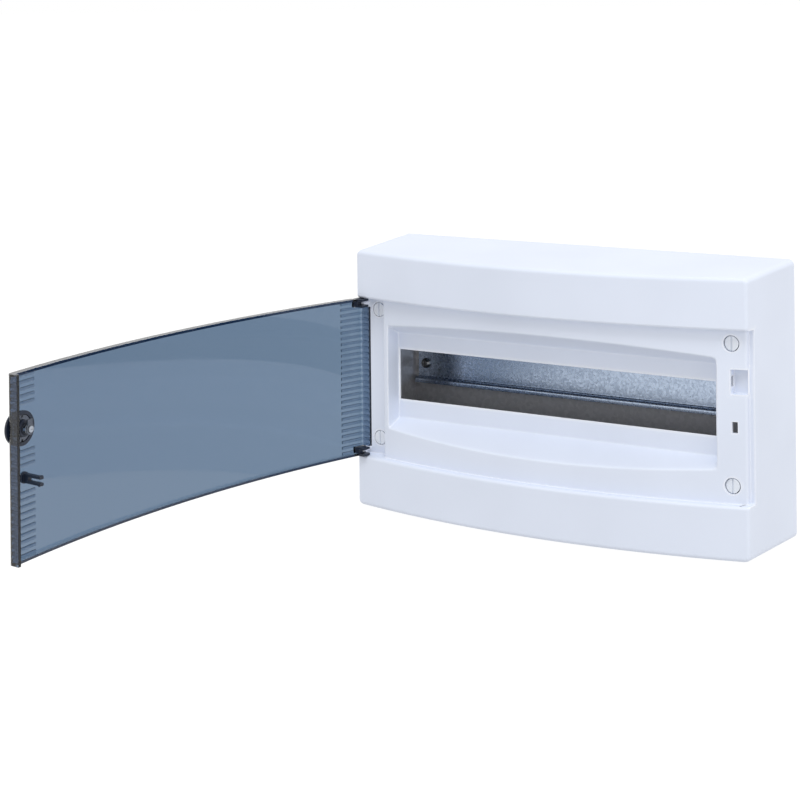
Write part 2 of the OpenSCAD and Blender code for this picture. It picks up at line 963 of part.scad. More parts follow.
module lock_bezel() {
    face = door_inset - bezel_t;
    color([0.16, 0.18, 0.22]) lock_place() difference() {
        union() {
            rod_y(0, 0, door_inset, face + bezel_edge, bezel_d);
            translate([0, face + bezel_edge, 0]) rotate([90, 0, 0]) {
                cylinder(d1 = bezel_d, d2 = bezel_d - bezel_taper, h = bezel_edge);
            }
            rod_y(0, 0, door_inset - 0.5, sleeve_end, sleeve_d);
        }
        rod_y(0, 0, face - 1, face + barrel_head_t + 0.1, barrel_head_d + barrel_head_gap);
        rod_y(0, 0, face, sleeve_end + 1, barrel_d + 2 * running_gap);
    }
}

// Retaining plate with two straight sides, behind the door panel
module lock_nut() {
    inner = door_inset + door_t + 0.05;
    color("silver") lock_place() difference() {
        intersection() {
            rod_y(0, 0, inner, inner + nut_t, nut_h);
            cube([nut_w, far, nut_h + 2], center = true);
        }
        rod_y(0, 0, inner - 1, inner + nut_t + 1, sleeve_d + sleeve_gap);
        for (sz = [-1, 1]) {
            translate([0, inner + nut_t, sz * nut_h / 2]) cube([nut_slot, 2, nut_slot + 2], center = true);
        }
    }
}

module lock_barrel() {
    face = door_inset - bezel_t - barrel_proud;
    color("lightgray") lock_place() difference() {
        union() {
            rod_y(0, 0, face, face + barrel_head_t + barrel_proud, barrel_head_d);
            rod_y(0, 0, face, cam_start, barrel_d);
        }
        translate([0, face, 0]) cube(key_slot, center = true);
        rod_y(0, 0, cam_start - cam_screw_depth, cam_start + 1, cam_screw_d);
    }
}

module lock_cam() {
    color("silver") lock_place() difference() {
        union() {
            rod_y(0, 0, cam_start, cam_start + cam_t, barrel_d);
            span([-cam_w / 2, cam_start, 0], [cam_w / 2, cam_start + cam_t, cam_reach - 1]);
        }
        rod_y(0, 0, cam_start - 1, cam_start + cam_t + 1, cam_screw_d + 0.2);
    }
}

module lock_cam_screw() {
    head_y = cam_start + cam_t;
    color("silver") lock_place() difference() {
        union() {
            rod_y(0, 0, head_y, head_y + 1, cam_screw_head_d);
            rod_y(0, 0, cam_start - cam_screw_depth + 0.5, head_y, cam_screw_d - 0.1);
        }
        translate([0, head_y + 1, 0]) cube(cam_screw_slot, center = true);
    }
}

base_tray();
rear_entry_plate();
bottom_entry_plate();
rail_chassis();
chassis_screws();
din_rail();
rail_screws();
neutral_bar();
neutral_bar_screws();
neutral_bar_holder();
earth_bar();
earth_bar_screws();
earth_bar_holder();
screw_retainers();
front_cover();
cover_screw_top_left();
cover_screw_top_right();
cover_screw_bottom_left();
cover_screw_bottom_right();
door_panel();
hinge_clip_top();
hinge_clip_bottom();
hinge_pin_top();
hinge_pin_bottom();
latch_fork();
lock_bezel();
lock_nut();
lock_barrel();
lock_cam();
lock_cam_screw();
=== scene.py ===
import math

import bmesh
import bpy
import numpy as np
from mathutils import Matrix, Vector


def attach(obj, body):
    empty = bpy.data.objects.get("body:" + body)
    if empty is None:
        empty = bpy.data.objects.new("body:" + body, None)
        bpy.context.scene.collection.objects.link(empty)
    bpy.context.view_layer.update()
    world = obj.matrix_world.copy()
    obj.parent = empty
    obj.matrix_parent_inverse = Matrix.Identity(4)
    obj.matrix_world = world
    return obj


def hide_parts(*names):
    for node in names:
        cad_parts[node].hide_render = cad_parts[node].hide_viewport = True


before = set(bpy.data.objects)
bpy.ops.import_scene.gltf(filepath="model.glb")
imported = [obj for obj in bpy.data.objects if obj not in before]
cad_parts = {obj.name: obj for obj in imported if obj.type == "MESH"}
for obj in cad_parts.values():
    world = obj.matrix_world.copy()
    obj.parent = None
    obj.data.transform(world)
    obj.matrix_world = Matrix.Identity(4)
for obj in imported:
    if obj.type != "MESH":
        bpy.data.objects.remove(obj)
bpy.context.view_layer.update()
MM = 0.001

# ---------------------------------------------------------------- sizes of the CAD part, mm
HALF_W, HALF_H = 199.0, 118.0
SIDE_DRAFT, TOP_DRAFT, BOTTOM_DRAFT = 5.5, 4.5, 1.0
DRAFT_FROM, DRAFT_OVER = 86.0, 27.0
CORNER_Y = -88.0
BOW_R, BOW_Y = 872.3913, 761.3913
REAR_Y = -0.55
WALL = 2.5
EDGE_R, FRONT_R = 5.0, 3.5
REBATE_Y = -76.0
RECESS_LOW, RECESS_HIGH = -72.0, 74.0
BLOCK_LEFT, BLOCK_RIGHT = -171.0, 195.0
FLOOR = 8.0
FRAME_Y = -72.0
DISH_TOP, DISH_BOTTOM = 42.0, -37.0
TOP_SLOPE, BOTTOM_SLOPE = 0.5, 0.45
WINDOW_X = 162.0
WINDOW_LOW, WINDOW_HIGH = -19.7, 26.3
SLOPE_LEFT, SLOPE_RIGHT = -165.0, 169.3
OUTSIDE_Y = -98.0
SCREW_X = 182.0
SCREW_Z = (62.0, -57.0)
SEAT_LEFT, SEAT_RIGHT = -74.0, -80.5
BOSS_TOP_LEFT, BOSS_TOP_RIGHT = -73.6, -81.4
BOSS_R, TUBE_R, COUNTERBORE_R, SHANK_R = 8.5, 6.98, 6.95, 3.07
BOSS_DEPTH = 4.0
LOCK_X, LOCK_Z = 187.5, 30.0
NOTCH_LEFT, NOTCH_HALF_H = 181.0, 10.5
NOTCH_FLOOR = -75.95
CAM_SLOT_HALF_H = 4.5
FORK_X, FORK_Z = 184.5, -8.0
FORK_SLOT_HALF_W, FORK_SLOT_HALF_H = 2.5, 4.75
PLATE_HALF_W = 99.0
HINGE = Vector((-195.7, -85.4, 0.0))
LUG_LOWS, LUG_H, LUG_R, PIN_HOLE_R = (68.1, -69.1), 3.0, 2.8, 1.57
LUG_FOOT = -75.2
DOOR_ANGLE = math.radians(95.8)
DOOR_OUT, DOOR_IN = 0.43, 3.2
DOOR_HALF_W = 198.6
DOOR_LOW, DOOR_HIGH = -71.5, 73.5
DOOR_SIDE, DOOR_EDGE = 2.5, 2.2
FLANGE_Y = -76.6
RAIL_Z, RAIL_HALF_W = 3.3, 176.5
RAIL_HOLE_X, RAIL_HOLE_R = 167.7, 2.6


def bow(x, inset):
    """The bowed front face at x, set back by inset."""
    return BOW_Y - math.sqrt((BOW_R - inset) ** 2 - x * x)


# ---------------------------------------------------------------- materials
def material(name, build):
    m = bpy.data.materials.new(name)
    m.use_nodes = True
    t = m.node_tree
    t.nodes.clear()
    out = t.nodes.new("ShaderNodeOutputMaterial")
    bsdf = t.nodes.new("ShaderNodeBsdfPrincipled")
    t.links.new(bsdf.outputs[0], out.inputs[0])
    build(Nodes(t), bsdf)
    return m


class Nodes:
    def __init__(self, tree):
        self.t = tree
        self.coord = tree.nodes.new("ShaderNodeTexCoord").outputs["Object"]

    def link(self, a, b):
        if isinstance(a, bpy.types.NodeSocket):
            self.t.links.new(a, b)
        else:
            b.default_value = a

    def scaled(self, s):
        n = self.t.nodes.new("ShaderNodeMapping")
        n.inputs["Scale"].default_value = s
        self.link(self.coord, n.inputs["Vector"])
        return n.outputs[0]

    def noise(self, scale, detail=3.0, rough=0.5, vector=None):
        n = self.t.nodes.new("ShaderNodeTexNoise")
        self.link(vector or self.coord, n.inputs["Vector"])
        n.inputs["Scale"].default_value = scale
        n.inputs["Detail"].default_value = detail
        n.inputs["Roughness"].default_value = rough
        return n.outputs["Fac"]

    def cells(self, scale):
        n = self.t.nodes.new("ShaderNodeTexVoronoi")
        self.link(self.coord, n.inputs["Vector"])
        n.inputs["Scale"].default_value = scale
        return n.outputs["Color"]

    def span(self, value, a, b, lo, hi):
        n = self.t.nodes.new("ShaderNodeMapRange")
        self.link(value, n.inputs["Value"])
        for k, v in (("From Min", a), ("From Max", b), ("To Min", lo), ("To Max", hi)):
            n.inputs[k].default_value = v
        return n.outputs[0]

    def mix(self, fac, a, b):
        n = self.t.nodes.new("ShaderNodeMix")
        n.data_type = "RGBA"
        self.link(fac, n.inputs[0])
        self.link(a, n.inputs[6])
        self.link(b, n.inputs[7])
        return n.outputs[2]

    def edge(self, radius):
        """1 on convex edges, 0 on flat faces."""
        bevel = self.t.nodes.new("ShaderNodeBevel")
        bevel.samples = 4
        bevel.inputs["Radius"].default_value = radius
        geometry = self.t.nodes.new("ShaderNodeNewGeometry")
        dot = self.t.nodes.new("ShaderNodeVectorMath")
        dot.operation = "DOT_PRODUCT"
        self.link(bevel.outputs[0], dot.inputs[0])
        self.link(geometry.outputs["Normal"], dot.inputs[1])
        return self.span(dot.outputs["Value"], 0.98, 0.8, 0.0, 1.0)

    def bump(self, height, strength, distance):
        n = self.t.nodes.new("ShaderNodeBump")
        n.inputs["Strength"].default_value = strength
        n.inputs["Distance"].default_value = distance
        self.link(height, n.inputs["Height"])
        return n.outputs[0]


PLASTIC_IOR = 1.49


def plastic(name, colour, rough, depth=0.25, wear_and_highlight=0.35, edge=0.0006):
    """Moulded plastic: fine spark-eroded grain, faint flow clouds and paler convex edges: slight rubbed
    wear, and where the paling is strong a painted highlight on the rounded edges.
    """
    dark = [c * 0.96 for c in colour] + [1]
    wear_and_highlight_colour = [c + (1 - c) * wear_and_highlight * 0.25 for c in colour] + [1]

    def build(n, b):
        cloud = n.noise(9.0, 2.0)
        body = n.mix(n.span(cloud, 0.35, 0.65, 0, 1), dark, [*colour, 1])
        # paler band on convex edges: slight rubbed wear, and with strong paling a painted highlight
        rubbed_and_highlit_edge = n.edge(edge)
        n.link(n.mix(rubbed_and_highlit_edge, body, wear_and_highlight_colour), b.inputs["Base Color"])
        fine = n.noise(1800.0, 2.0)
        n.link(n.span(fine, 0.3, 0.7, rough - 0.05, rough + 0.06), b.inputs["Roughness"])
        n.link(n.bump(fine, depth, 0.00004), b.inputs["Normal"])
        b.inputs["IOR"].default_value = PLASTIC_IOR

    return material(name, build)


def metal(name, colour, rough, grain=(900, 60, 900), spread=0.1):
    """Turned or rolled metal with fine streaks."""

    def build(n, b):
        streak = n.noise(1.0, 3.0, 0.6, n.scaled(grain))
        cloud = n.noise(40.0, 3.0)
        dim = [c * 0.82 for c in colour] + [1]
        n.link(n.mix(n.span(cloud, 0.3, 0.7, 0, 1), dim, [*colour, 1]), b.inputs["Base Color"])
        b.inputs["Metallic"].default_value = 1.0
        n.link(n.span(streak, 0.25, 0.75, rough - spread, rough + spread), b.inputs["Roughness"])
        n.link(n.bump(streak, 0.15, 0.00005), b.inputs["Normal"])

    return material(name, build)


def galvanised(name, bright, dull, scale, gloss=0.2, metallic=1.0):
    """Hot-dip zinc: angular spangles that differ in tone and gloss."""

    def build(n, b):
        warp = n.noise(30.0, 2.0)
        spangle = n.cells(scale)
        fine = n.noise(260.0, 4.0, 0.7)
        tone = n.mix(0.35, spangle, fine)
        grey = n.t.nodes.new("ShaderNodeRGBToBW")
        n.link(tone, grey.inputs[0])
        fac = n.span(grey.outputs[0], 0.25, 0.75, 0, 1)
        n.link(n.mix(fac, [*dull, 1], [*bright, 1]), b.inputs["Base Color"])
        b.inputs["Metallic"].default_value = metallic
        n.link(n.span(grey.outputs[0], 0.2, 0.8, gloss + 0.14, gloss), b.inputs["Roughness"])
        n.link(n.bump(n.mix(0.4, spangle, warp), 0.25, 0.0001), b.inputs["Normal"])

    return material(name, build)


def smoke(name, absorbed, density):
    """Smoke-tinted clear plastic: the tint comes from its thickness."""

    def build(n, b):
        b.inputs["Transmission Weight"].default_value = 1.0
        b.inputs["IOR"].default_value = PLASTIC_IOR
        b.inputs["Base Color"].default_value = (1, 1, 1, 1)
        n.link(n.span(n.noise(14.0, 4.0), 0.4, 0.7, 0.02, 0.07), b.inputs["Roughness"])
        n.link(n.bump(n.noise(60.0, 2.0), 0.05, 0.0002), b.inputs["Normal"])
        inside = n.t.nodes.new("ShaderNodeVolumeAbsorption")
        inside.inputs["Color"].default_value = (*absorbed, 1)
        inside.inputs["Density"].default_value = density
        out = b.outputs[0].links[0].to_node
        n.link(inside.outputs[0], out.inputs["Volume"])

    return material(name, build)


# the white cover's wide, strongly paled edge band is a painted highlight on its rounded edges
WHITE = plastic("white_plastic", (0.735, 0.785, 0.90), 0.45, wear_and_highlight=2.6, edge=0.003)
WHITE_SCREW = plastic("white_screw_plastic", (0.78, 0.82, 0.89), 0.36, depth=0.15)
BASE = plastic("base_plastic", (0.70, 0.74, 0.82), 0.5)
PLATE = plastic("entry_plate_plastic", (0.70, 0.72, 0.75), 0.5)
DARK = plastic("dark_plastic", (0.006, 0.011, 0.025), 0.38, depth=0.15, wear_and_highlight=0.15)
BLUE = plastic("blue_plastic", (0.03, 0.14, 0.50), 0.4)
GREEN = plastic("green_plastic", (0.05, 0.33, 0.10), 0.4)
ZINC = galvanised("spangled_zinc", (0.47, 0.55, 0.68), (0.36, 0.43, 0.55), 600.0)
DULL = galvanised("dull_zinc", (0.50, 0.50, 0.52), (0.42, 0.42, 0.44), 300.0, 0.32, 0.5)
SCREW = metal("zinc_screw_metal", (0.62, 0.64, 0.66), 0.28)
DARK_SCREW = metal("blackened_screw_metal", (0.20, 0.21, 0.22), 0.25)
BRASS = metal("terminal_brass", (0.72, 0.53, 0.24), 0.32, (60, 900, 900))
STEEL = metal("steel_pin_metal", (0.58, 0.60, 0.63), 0.24, (900, 900, 60))
CHROME = metal("lock_chrome", (0.50, 0.52, 0.56), 0.18, spread=0.05)
# the lock cam and nut get a dark base colour as a painted reflection: it stands in for dark surroundings
# mirrored in the steel
CAM_STEEL_PAINTED_DARK = metal("lock_cam_steel_painted_dark_reflection", (0.16, 0.17, 0.19), 0.3)
SMOKE = smoke("smoke_tint", (0.083, 0.267, 0.445), 680.0)


# ---------------------------------------------------------------- mesh helpers
def add_object(name, data):
    ob = bpy.data.objects.new(name, data)
    bpy.context.scene.collection.objects.link(ob)
    return ob


def new_object(name, verts, faces):
    """Object from vertices in mm."""
    me = bpy.data.meshes.new(name)
    me.from_pydata([tuple(c * MM for c in v) for v in verts], [], faces)
    me.validate()
    return add_object(name, me)


def tidy_normals(ob, angle):
    """Smooth faces with sharp edges by angle, and normals weighted by face size."""
    me = ob.data
    bm = bmesh.new()
    bm.from_mesh(me)
    limit = math.radians(angle)
    for f in bm.faces:
        f.smooth = True
    for e in bm.edges:
        e.smooth = not (len(e.link_faces) == 2 and e.calc_face_angle(0.0) > limit)
    bm.to_mesh(me)
    bm.free()
    w = ob.modifiers.new("normals", "WEIGHTED_NORMAL")
    w.keep_sharp = True
    w.weight = 80


def bake(ob):
    """Applies every modifier."""
    dg = bpy.context.evaluated_depsgraph_get()
    me = bpy.data.meshes.new_from_object(ob.evaluated_get(dg))
    ob.modifiers.clear()
    old = ob.data
    ob.data = me
    bpy.data.meshes.remove(old)


def box_mesh(lo, hi):
    (x0, y0, z0), (x1, y1, z1) = lo, hi
    v = [(x, y, z) for x in (x0, x1) for y in (y0, y1) for z in (z0, z1)]
    f = [(0, 1, 3, 2), (4, 6, 7, 5), (0, 4, 5, 1), (2, 3, 7, 6), (0, 2, 6, 4), (1, 5, 7, 3)]
    return v, f


def lathe(profile, n=64, axis="Y", centre=(0, 0, 0), closed=True):
    """Turns (radius, along) points round a Y or Z axis through centre; an open profile gets end caps."""
    verts, faces = [], []
    cx, cy, cz = centre
    for r, a in profile:
        for k in range(n):
            t = 2 * math.pi * k / n
            c, s = r * math.cos(t), r * math.sin(t)
            verts.append((cx + c, cy + a, cz + s) if axis == "Y" else (cx + c, cy + s, cz + a))
    rows = len(profile)
    for i in range(rows if closed else rows - 1):
        j = (i + 1) % rows
        for k in range(n):
            m = (k + 1) % n
            faces.append((i * n + k, i * n + m, j * n + m, j * n + k))
    if not closed:
        faces.append(tuple(range(n)))
        faces.append(tuple(range((rows - 1) * n, rows * n)))
    return verts, faces


def join_parts(name, parts):
    """One mesh from several (verts, faces) parts."""
    verts, faces = [], []
    for v, f in parts:
        start = len(verts)
        verts += list(v)
        faces += [tuple(start + i for i in face) for face in f]
    ob = new_object(name, verts, faces)
    fix_faces(ob)
    return ob


def fix_faces(ob):
    """Turns every face outward."""
    bm = bmesh.new()
    bm.from_mesh(ob.data)
    bmesh.ops.recalc_face_normals(bm, faces=bm.faces)
    bm.to_mesh(ob.data)
    bm.free()


def soften(ob, width, segments, angle):
    """Rounds the edges sharper than angle."""
    b = ob.modifiers.new("edges", "BEVEL")
    b.width = width * MM
    b.segments = segments
    b.limit_method = "ANGLE"
    b.angle_limit = math.radians(angle)
    b.use_clamp_overlap = True


def combine(ob, parts, operation, solver):
    tool = join_parts(ob.name + "_tool", parts)
    m = ob.modifiers.new("combine", "BOOLEAN")
    m.operation = operation
    m.solver = solver
    m.object = tool
    bake(ob)
    bpy.data.objects.remove(tool)


def cut(ob, parts, solver="EXACT"):
    """Takes the joined parts away from ob."""
    combine(ob, parts, "DIFFERENCE", solver)


def union(ob, parts):
    """Adds the joined parts to ob."""
    combine(ob, parts, "UNION", "EXACT")


def merged(name, objects, mat):
    """One object from several, modifiers included."""
    dg = bpy.context.evaluated_depsgraph_get()
    bm = bmesh.new()
    for o in objects:
        me = bpy.data.meshes.new_from_object(o.evaluated_get(dg))
        bm.from_mesh(me)
        bpy.data.meshes.remove(me)
    me = bpy.data.meshes.new(name)
    bm.to_mesh(me)
    bm.free()
    for o in objects:
        bpy.data.objects.remove(o)
    me.materials.append(mat)
    return add_object(name, me)


def prism_faces(n):
    """Two end caps and n sides."""
    faces = [tuple(range(n)), tuple(range(2 * n - 1, n - 1, -1))]
    return faces + [(i, (i + 1) % n, n + (i + 1) % n, n + i) for i in range(n)]


def prism(points, z0, z1):
    """Upright prism over a plan outline."""
    verts = [(x, y, z0) for x, y in points] + [(x, y, z1) for x, y in points]
    return verts, prism_faces(len(points))


def rod(x, z, y0, y1, r, n=64):
    """Cylinder along Y."""
    return lathe([(r, y0), (r, y1)], n, "Y", (x, 0, z), closed=False)


def moved(part, matrix):
    v, f = part
    return [tuple(matrix @ (Vector(p) * MM) / MM) for p in v], f


# ---------------------------------------------------------------- front cover
def smooth_max(a, b, r):
    h = max(r - abs(a - b), 0.0) / r
    return max(a, b) + h * h * r / 4


def smooth_min(a, b, r):
    return -smooth_max(-a, -b, r)


def corner(side_x, inset, r, steps=8):
    """Rounded plan corner on the right, from the side wall to the bowed face."""
    xc = side_x - r
    reach = BOW_R - inset - r
    yc = BOW_Y - math.sqrt(reach * reach - xc * xc)
    end = math.atan2(BOW_Y - yc, xc)
    turn = [end * k / steps for k in range(steps + 1)]
    return [(xc + r * math.cos(t), yc - r * math.sin(t)) for t in turn]


# (x, share of the way from the recess floor to the dish) down each side wall of the dish
LEFT_WALL = (
    (-165.9, 0.0), (-165.45, 0.008), (-165.15, 0.03), (-165.0, 0.07), (-164.9, 0.13), (-164.45, 0.4),
    (-164.0, 0.7), (-163.65, 0.91), (-163.45, 0.965), (-163.1, 0.992), (-162.7, 1.0),
)
RIGHT_WALL = (
    (164.2, 1.0), (164.75, 0.992), (165.15, 0.965), (165.5, 0.91), (166.6, 0.66), (167.9, 0.34),
    (168.9, 0.1), (169.15, 0.055), (169.45, 0.024), (169.85, 0.006), (170.4, 0.0),
)
# (out from the window, drop) of its rounded rim, and (out, rise) where the block meets the rebate
RIM = ((0.5, 0.0), (0.2, 0.06), (0.05, 0.25), (0.0, 0.6))
BLOCK_FOOT = ((0.5, 0.04), (0.15, 0.18), (0.02, 0.6))
# offsets of the rows that round the outer edge of each slope of the dish, and its inner edge
CREST = (1.8, 1.3, 0.9, 0.5, 0.15, -0.2, -0.55, -0.95, -1.4, -1.9)
FOOT = (1.4, 0.9, 0.5, 0.15, -0.15, -0.5, -0.9, -1.4)
REBATE_CORNER = 0.8
LEDGE_R = 2.5
HOLE_ROUND = 0.35


def floor_y(x):
    return bow(x, FLOOR)


def dish_depth(x):
    return FRAME_Y - floor_y(max(SLOPE_LEFT, min(SLOPE_RIGHT, x)))


def top_edge(x):
    return DISH_TOP + TOP_SLOPE * dish_depth(x)


def bottom_edge(x):
    return DISH_BOTTOM - BOTTOM_SLOPE * dish_depth(x)


def dish_y(x, z):
    """The dish round the window: flat, with slopes at top and bottom, never in front of the recess floor."""
    top = FRAME_Y - (z - DISH_TOP) / TOP_SLOPE
    low = FRAME_Y - (DISH_BOTTOM - z) / BOTTOM_SLOPE
    depth = smooth_min(smooth_min(top, low, 2.0), FRAME_Y, 2.0)
    away = math.hypot(max(abs(x) - WINDOW_X, 0.0), max(z - WINDOW_HIGH, WINDOW_LOW - z, 0.0))
    out, down = zip(*reversed(RIM))
    drop = float(np.interp(away, out, down))
    return smooth_max(floor_y(x), depth, 3.0) + drop


def recess_columns():
    """(x, kind, value) of each upright grid line of the recess, left to right."""
    left = corner(-BLOCK_LEFT, FLOOR, LEDGE_R)
    right = corner(BLOCK_RIGHT, FLOOR, LEDGE_R)
    cols = [(x, "at", REBATE_Y) for x in (-196.0, -190.0, -183.0, -176.0, -172.0)]
    cols += [(BLOCK_LEFT - out, "at", REBATE_Y - rise) for out, rise in BLOCK_FOOT]
    cols += [(-x, "at", y) for x, y in left]
    cols += [(x, "floor", 0) for x in (-168.2, -167.2)]
    cols += [(x, "wall", s) for x, s in LEFT_WALL]
    cols += [(-WINDOW_X - r, "dish", 0) for r, _ in RIM]
    count = 54
    cols += [(-WINDOW_X + 2 * WINDOW_X * k / count, "dish", 0) for k in range(1, count)]
    cols += [(WINDOW_X + r, "dish", 0) for r, _ in reversed(RIM)]
    cols += [(x, "wall", s) for x, s in RIGHT_WALL]
    cols += [(x, "floor", 0) for x in (172.0, 175.0, 178.0, 181.0, 184.0, 187.0, 190.0)]
    cols += [(x, "at", y) for x, y in reversed(right)]
    cols += [(BLOCK_RIGHT + out, "at", REBATE_Y - rise) for out, rise in reversed(BLOCK_FOOT)]
    cols += [(x, "at", REBATE_Y) for x in (196.2, 197.2)]
    return cols


COLUMNS = recess_columns()


def draft_share(y):
    """1 at the wall, 0 at the front corners."""
    return 1 - y / CORNER_Y


def drafted(point):
    """A point of the hood with the top and bottom spread towards the wall."""
    x, y, z = point
    share = draft_share(y) * min(max((abs(z) - DRAFT_FROM) / DRAFT_OVER, 0.0), 1.0)
    return x, y, z + share * (TOP_DRAFT if z > 0 else -BOTTOM_DRAFT)


def full_row(z, side_inset, front_inset):
    """Plan section of the hood at one height."""
    side = HALF_W - side_inset
    arc = corner(side, front_inset, FRONT_R)
    end = arc[-1][0]
    xs = np.array([c[0] for c in COLUMNS])
    inner = np.abs(xs) < WINDOW_X - 2
    first, last = np.argmax(inner), len(xs) - 1 - np.argmax(inner[::-1])
    left = np.linspace(-end, xs[first], first + 2)[1:]
    right = np.linspace(xs[last], end, len(xs) - last + 1)[:-1]
    spread = np.concatenate([left, xs[first + 1:last], right])
    front = [(x, bow(x, front_inset), z) for x in spread]
    return close_row(arc, front, z)


def close_row(arc, front, z):
    """Adds the rounded corners and the side walls, back to the rear edge."""
    rear = [(arc[0][0], REAR_Y), (arc[0][0], -28.0), (arc[0][0], -52.0)] + arc
    rear = [(x + SIDE_DRAFT * draft_share(y), y) for x, y in rear]
    return [(-x, y, z) for x, y in rear] + front + [(x, y, z) for x, y in reversed(rear)]


def quarter(steps):
    """Angles of a quarter turn."""
    return [math.pi / 2 * k / steps for k in range(steps + 1)]


def recess_row(height):
    """Plan section inside the recess; height gives z at each x."""
    r = REBATE_CORNER
    arc = [(HALF_W - r + r * math.cos(t), REBATE_Y + r - r * math.sin(t)) for t in quarter(8)]
    front = []
    for x, kind, value in COLUMNS:
        z = height(x)
        if kind == "at":
            y = value
        elif kind == "floor":
            y = floor_y(x)
        elif kind == "dish":
            y = dish_y(x, z)
        else:
            y = floor_y(x) + value * (dish_y(x, z) - floor_y(x))
        front.append((x, y, z))
    row = close_row(arc, front, 0.0)
    return [(x, y, height(x)) for x, y, _ in row]


def between(a, b, t):
    return lambda x: a(x) + t * (b(x) - a(x))


def level(z):
    return lambda x: z


def offset(f, d):
    return lambda x: f(x) + d


def hood_rows():
    """Rows of the plain hood above the recess, top first, and below it."""
    edge = []
    for t in quarter(8):
        z = HALF_H - EDGE_R + EDGE_R * math.cos(t)
        back = FRONT_R - math.sqrt(max(FRONT_R ** 2 - max(z - HALF_H + FRONT_R, 0.0) ** 2, 0.0))
        edge.append((z, EDGE_R - EDGE_R * math.sin(t), back))
    flats = [(z, 0, 0) for z in (104.0, 95.0, 86.0)]
    ledge = [(LEDGE_R * (1 - math.sin(t)), LEDGE_R * (1 - math.cos(t))) for t in quarter(6)]
    above = edge + flats + [(RECESS_HIGH + rise, 0, back) for rise, back in ledge]
    below = edge + flats + [(rise - RECESS_LOW, 0, back) for rise, back in ledge]
    return [full_row(*r) for r in above], [full_row(-z, a, b) for z, a, b in reversed(below)]


def recess_heights():
    """Height functions of the rows in the recess, top first, and the span that the window leaves open."""
    top, low = level(RECESS_HIGH), level(RECESS_LOW)
    h = [top] + [between(top, offset(top_edge, CREST[0]), t) for t in (0.35, 0.7)]
    h += [offset(top_edge, d) for d in CREST]
    h += [between(offset(top_edge, CREST[-1]), level(DISH_TOP + FOOT[0]), t) for t in (0.25, 0.5, 0.75)]
    h += [level(DISH_TOP + d) for d in FOOT] + [level(z) for z in (38.0, 34.0, 30.0)]
    h += [level(WINDOW_HIGH + r) for r, _ in RIM]
    open_from = len(h) - 1
    h += [level(z) for z in (20.0, 12.0, 3.3, -5.0, -13.0)]
    open_to = len(h)
    h += [level(WINDOW_LOW - r) for r, _ in reversed(RIM)]
    h += [level(z) for z in (-24.0, -29.0, -33.0)] + [level(DISH_BOTTOM + d) for d in FOOT]
    h += [between(level(DISH_BOTTOM + FOOT[-1]), offset(bottom_edge, CREST[0]), t) for t in (0.3, 0.6)]
    h += [offset(bottom_edge, d) for d in CREST]
    h += [between(offset(bottom_edge, CREST[-1]), low, t) for t in (0.35, 0.7)] + [low]
    return h, open_from, open_to


def cover_rows():
    """Rows from the top face to the bottom face, and the span of rows that the window leaves open."""
    upper, lower = hood_rows()
    heights, open_from, open_to = recess_heights()
    middle = [recess_row(height) for height in heights]
    return upper + middle + lower, len(upper) + open_from, len(upper) + open_to


def in_window(x):
    return abs(x) < WINDOW_X + 0.01


def cover_shell():
    """The cover as a sheet through its outer face, thickened inwards."""
    rows, open_from, open_to = cover_rows()
    n = len(rows[0])
    verts = [drafted(p) for row in rows for p in row]
    faces = []
    for j in range(len(rows) - 1):
        for i in range(n - 1):
            if open_from <= j < open_to and in_window(rows[j][i][0]) and in_window(rows[j][i + 1][0]):
                continue
            faces.append((j * n + i, j * n + i + 1, (j + 1) * n + i + 1, (j + 1) * n + i))
    base = (len(rows) - 1) * n
    for i in range(n // 2 - 1):
        faces.append((i, i + 1, n - 2 - i, n - 1 - i))
        faces.append((base + i, base + i + 1, base + n - 2 - i, base + n - 1 - i))
    ob = new_object("cover_shell", verts, faces)
    bm = bmesh.new()
    bm.from_mesh(ob.data)
    loose = [v for v in bm.verts if not v.link_faces]
    bmesh.ops.delete(bm, geom=loose, context="VERTS")
    bmesh.ops.remove_doubles(bm, verts=bm.verts, dist=1e-7)
    bmesh.ops.recalc_face_normals(bm, faces=bm.faces)
    probe = max(bm.faces, key=lambda f: f.calc_center_median().z)
    if probe.normal.z < 0:
        bmesh.ops.reverse_faces(bm, faces=bm.faces)
    bm.to_mesh(ob.data)
    bm.free()
    s = ob.modifiers.new("wall", "SOLIDIFY")
    s.thickness = WALL * MM
    s.offset = -1
    bake(ob)
    fix_faces(ob)
    return ob


def round_holes(ob, zones, angle=50.0):
    """Small rounding on the sharp edges inside each zone (low corner, high corner)."""
    bm = bmesh.new()
    bm.from_mesh(ob.data)
    limit = math.radians(angle)
    picked = []
    for e in bm.edges:
        if len(e.link_faces) != 2 or e.calc_face_angle(0.0) < limit or not e.is_convex:
            continue
        for lo, hi in zones:
            if all(lo[k] * MM <= v.co[k] <= hi[k] * MM for v in e.verts for k in range(3)):
                picked.append(e)
                break
    bmesh.ops.bevel(
        bm, geom=picked, offset=HOLE_ROUND * MM, segments=2, profile=0.5, affect="EDGES", clamp_overlap=True
    )
    bm.to_mesh(ob.data)
    bm.free()


def box_about(x, z, half_w, half_h, y0, y1):
    """Box along Y centred on x and z."""
    return box_mesh((x - half_w, y0, z - half_h), (x + half_w, y1, z + half_h))


def notch_box(y1, ease=0.0):
    """The notch that the lock drops into, wider by ease."""
    half = NOTCH_HALF_H + ease
    return box_mesh((NOTCH_LEFT - ease, OUTSIDE_Y, LOCK_Z - half), (BLOCK_RIGHT, y1, LOCK_Z + half))


def cam_slot():
    """Slot in the notch's left wall that the cam turns into."""
    return box_mesh((176.0, -81.6, LOCK_Z - CAM_SLOT_HALF_H), (182.0, -77.6, LOCK_Z + CAM_SLOT_HALF_H))


